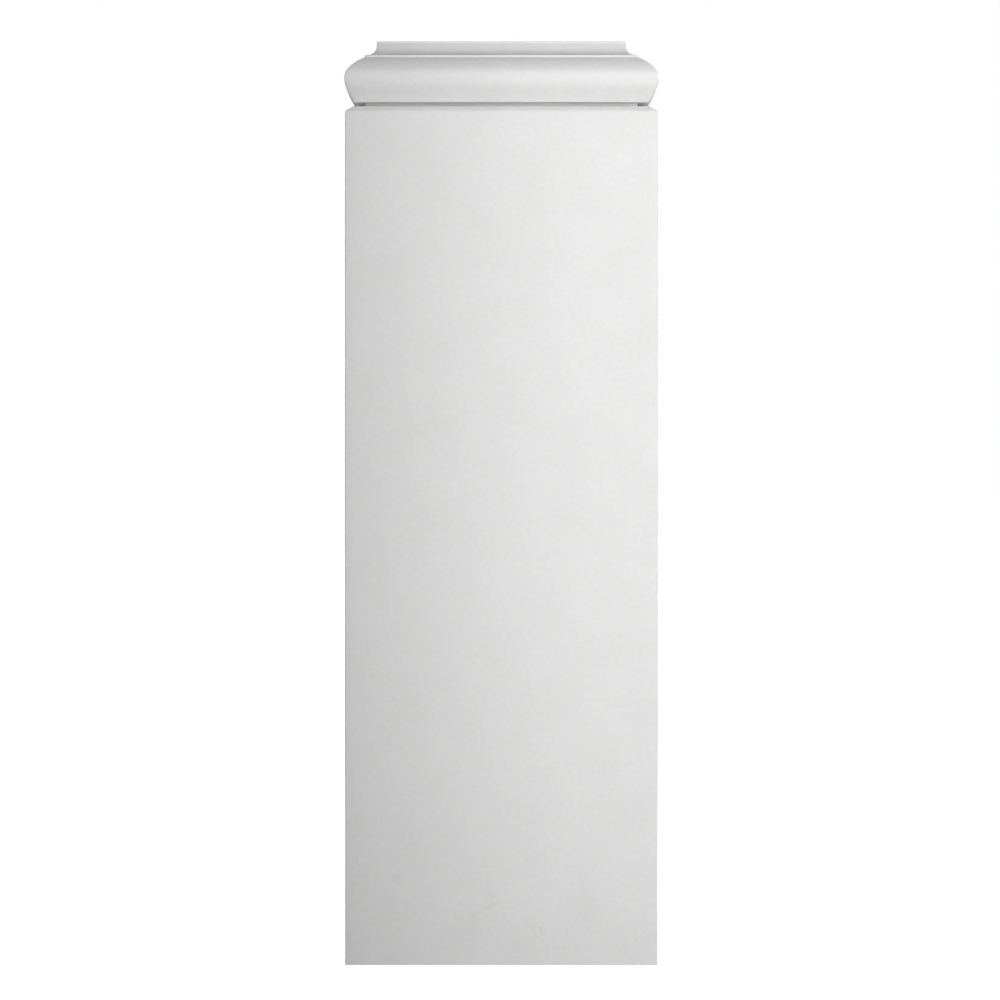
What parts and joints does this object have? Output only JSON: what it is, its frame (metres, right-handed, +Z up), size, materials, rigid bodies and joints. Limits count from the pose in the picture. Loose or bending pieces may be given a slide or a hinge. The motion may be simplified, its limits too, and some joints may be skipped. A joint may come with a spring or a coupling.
{
  "type": "pilaster base",
  "caption": "Tall plain pilaster plinth with a quirk, torus, fillet and cavetto along its top, returned on both sides; flat back for a wall, flat top for the shaft.",
  "frame": {"origin": "middle of the underside, in the middle of the box around the part", "axes": "+Z up, the front faces -Y, the flat back that goes on the wall faces +Y, +X to the right seen from the front"},
  "size_m": [0.2712, 0.0686, 0.8],
  "materials": {
    "primed_polyurethane": "moulded rigid polyurethane foam, sprayed with matt white primer"
  },
  "bodies": {
    "root": {"pilaster_base": "primed_polyurethane"}
  },
  "joints": []
}
